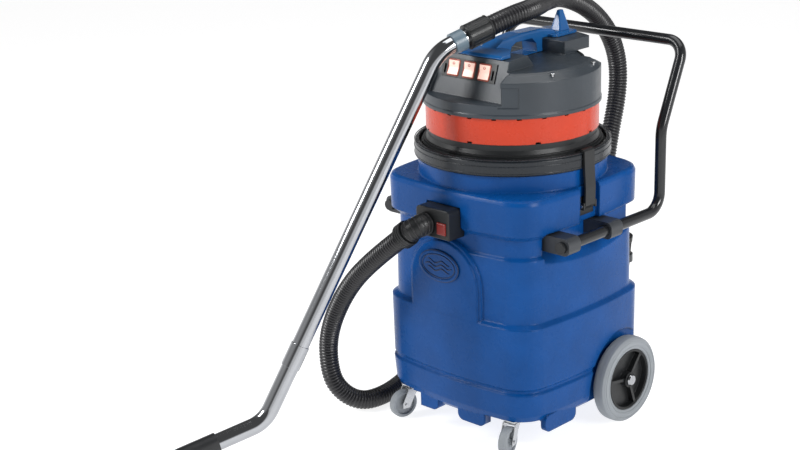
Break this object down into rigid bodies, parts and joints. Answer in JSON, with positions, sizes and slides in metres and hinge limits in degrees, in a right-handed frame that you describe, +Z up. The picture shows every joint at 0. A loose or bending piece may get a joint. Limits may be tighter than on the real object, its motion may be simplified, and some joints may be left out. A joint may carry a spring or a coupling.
{
  "type": "wet and dry shop vacuum",
  "caption": "Upright wet and dry shop vacuum: square blue tank on wheels, lift-off motor head held by latches, push bail, ribbed suction hose, bent wand and floor nozzle.",
  "frame": {"origin": "on the floor, under the middle of the bounding box of the machine with its wand and floor tool, hose left out", "axes": "+Z up, -Y the front with the hose inlet and the switches, +X the machine's right-hand side seen from the front as it faces -Y"},
  "size_m": [0.7091, 1.4355, 0.9655],
  "materials": {
    "tank_plastic": "semi-gloss rotationally moulded blue plastic",
    "head_plastic": "fine-grained dark slate plastic",
    "black_plastic": "satin black plastic",
    "ring_plastic": "smooth dark grey plastic",
    "band_orange": "orange-red moulded plastic",
    "trim_blue": "glossy blue plastic",
    "rocker_lens": "milky lens plastic",
    "button_red": "dark red plastic",
    "seal_rubber": "soft black rubber",
    "hose_rubber": "ribbed black hose",
    "tyre_grey": "non-marking grey tread",
    "chrome_tube": "polished chromed tube",
    "bail_tube": "black powder coated tube",
    "steel": "plain zinc plated steel",
    "filter_cloth": "off-white pleated filter cloth",
    "clamp_grey": "dark grey plastic",
    "clip_grey": "light grey plastic",
    "tool_plastic": "black nozzle plastic"
  },
  "bodies": {
    "root": {"tank": "tank_plastic", "badge": "tank_plastic", "collar_ring": "ring_plastic", "collar_gasket": "seal_rubber", "inlet_housing": "black_plastic", "inlet_elbow": "black_plastic", "tank_cuff": "black_plastic", "push_handle": "bail_tube", "handle_clamps": "clamp_grey", "bail_plugs": "black_plastic", "rear_axle": "steel", "wheel_caps": "chrome_tube", "latch_brackets": "black_plastic", "latch_pins": "steel", "drain_elbow": "black_plastic", "drain_hose": "seal_rubber", "drain_clip": "clamp_grey", "caster_plates": "steel"},
    "head": {"head_base": "black_plastic", "motor_deck": "steel", "exhaust_band": "band_orange", "motor_cover": "head_plastic", "cooling_vent": "black_plastic", "switch_bezel": "black_plastic", "carry_handle": "trim_blue", "hose_horn": "trim_blue", "cover_screws": "steel", "cover_clips": "clip_grey", "power_gland": "black_plastic", "motor_gaskets": "seal_rubber", "motors": "steel", "filter": "filter_cloth", "float_cage": "black_plastic", "hose": "hose_rubber", "wand_cuff": "black_plastic", "wand_upper": "chrome_tube", "wand_lower": "chrome_tube", "tool_neck": "tool_plastic", "tool_body": "tool_plastic", "squeegees": "seal_rubber"},
    "rocker_1_body": {"rocker_1": "rocker_lens"},
    "rotor_1_body": {"rotor_1": "steel"},
    "rocker_2_body": {"rocker_2": "rocker_lens"},
    "rotor_2_body": {"rotor_2": "steel"},
    "rocker_3_body": {"rocker_3": "rocker_lens"},
    "rotor_3_body": {"rotor_3": "steel"},
    "float_body": {"float_ball": "clip_grey"},
    "bleed_ring": {"air_ring": "head_plastic"},
    "latch_right_body": {"latch_right": "black_plastic"},
    "wheel_right": {"wheel_tyre_right": "tyre_grey", "wheel_hub_right": "black_plastic"},
    "caster_right": {"caster_fork_right": "steel"},
    "caster_right_roller": {"caster_wheel_right": "tyre_grey"},
    "latch_left_body": {"latch_left": "black_plastic"},
    "wheel_left": {"wheel_tyre_left": "tyre_grey", "wheel_hub_left": "black_plastic"},
    "caster_left": {"caster_fork_left": "steel"},
    "caster_left_roller": {"caster_wheel_left": "tyre_grey"},
    "hose_release": {"release_button": "button_red"},
    "drain_stopper": {"drain_plug": "black_plastic"}
  },
  "joints": [
    {"name": "head_lift", "type": "slide", "parent": "root", "child": "head", "axis": [0, 0, 1], "range_m": [0, 0.32], "deforming": ["hose"]},
    {"name": "switch_1_tip", "type": "hinge", "parent": "head", "child": "rocker_1_body", "pos_m": [0.0346, 0.19819, 0.83037], "axis": [1, 0, 0], "range_deg": [0, 6]},
    {"name": "rotor_1_spin", "type": "hinge", "parent": "head", "child": "rotor_1_body", "pos_m": [0.0846, 0.4264, 0.74], "axis": [0, 0, 1], "continuous": true},
    {"name": "switch_2_tip", "type": "hinge", "parent": "head", "child": "rocker_2_body", "pos_m": [0.0786, 0.19819, 0.83037], "axis": [1, 0, 0], "range_deg": [0, 6]},
    {"name": "rotor_2_spin", "type": "hinge", "parent": "head", "child": "rotor_2_body", "pos_m": [-0.00027, 0.2794, 0.74], "axis": [0, 0, 1], "continuous": true},
    {"name": "switch_3_tip", "type": "hinge", "parent": "head", "child": "rocker_3_body", "pos_m": [0.1226, 0.19819, 0.83037], "axis": [1, 0, 0], "range_deg": [0, 6]},
    {"name": "rotor_3_spin", "type": "hinge", "parent": "head", "child": "rotor_3_body", "pos_m": [0.16947, 0.2794, 0.74], "axis": [0, 0, 1], "continuous": true},
    {"name": "float_rise", "type": "slide", "parent": "head", "child": "float_body", "axis": [0, 0, 1], "range_m": [0, 0.038]},
    {"name": "bleed_ring_turn", "type": "hinge", "parent": "head", "child": "bleed_ring", "pos_m": [0.06946, 0.17019, 0.89636], "axis": [0.3455, 0.887, 0.3064], "range_deg": [0, 60]},
    {"name": "latch_right_swing", "type": "hinge", "parent": "root", "child": "latch_right_body", "pos_m": [0.3061, 0.3204, 0.541], "axis": [0, 1, 0], "range_deg": [0, 72]},
    {"name": "wheel_right_roll", "type": "hinge", "parent": "root", "child": "wheel_right", "pos_m": [0.3226, 0.4364, 0.1], "axis": [1, 0, 0], "continuous": true},
    {"name": "caster_right_swivel", "type": "hinge", "parent": "root", "child": "caster_right", "pos_m": [0.2366, 0.1424, 0.07], "axis": [0, 0, 1], "continuous": true},
    {"name": "caster_right_roll", "type": "hinge", "parent": "caster_right", "child": "caster_right_roller", "pos_m": [0.24432, 0.11548, 0.033], "axis": [0.9613, 0.2756, 0], "continuous": true},
    {"name": "latch_left_swing", "type": "hinge", "parent": "root", "child": "latch_left_body", "pos_m": [-0.1369, 0.3204, 0.541], "axis": [0, -1, 0], "range_deg": [0, 72]},
    {"name": "wheel_left_roll", "type": "hinge", "parent": "root", "child": "wheel_left", "pos_m": [-0.1534, 0.4364, 0.1], "axis": [1, 0, 0], "continuous": true},
    {"name": "caster_left_swivel", "type": "hinge", "parent": "root", "child": "caster_left", "pos_m": [-0.0674, 0.1424, 0.07], "axis": [0, 0, 1], "continuous": true},
    {"name": "caster_left_roll", "type": "hinge", "parent": "caster_left", "child": "caster_left_roller", "pos_m": [-0.07512, 0.11548, 0.033], "axis": [0.9613, -0.2756, 0], "continuous": true},
    {"name": "release_press", "type": "slide", "parent": "root", "child": "hose_release", "axis": [0, 1, 0], "range_m": [0, 0.004], "stiffness_N_per_m": 300},
    {"name": "drain_plug_pull", "type": "slide", "parent": "root", "child": "drain_stopper", "axis": [0.1444, -0.0722, 0.9869], "range_m": [0, 0.03]}
  ]
}
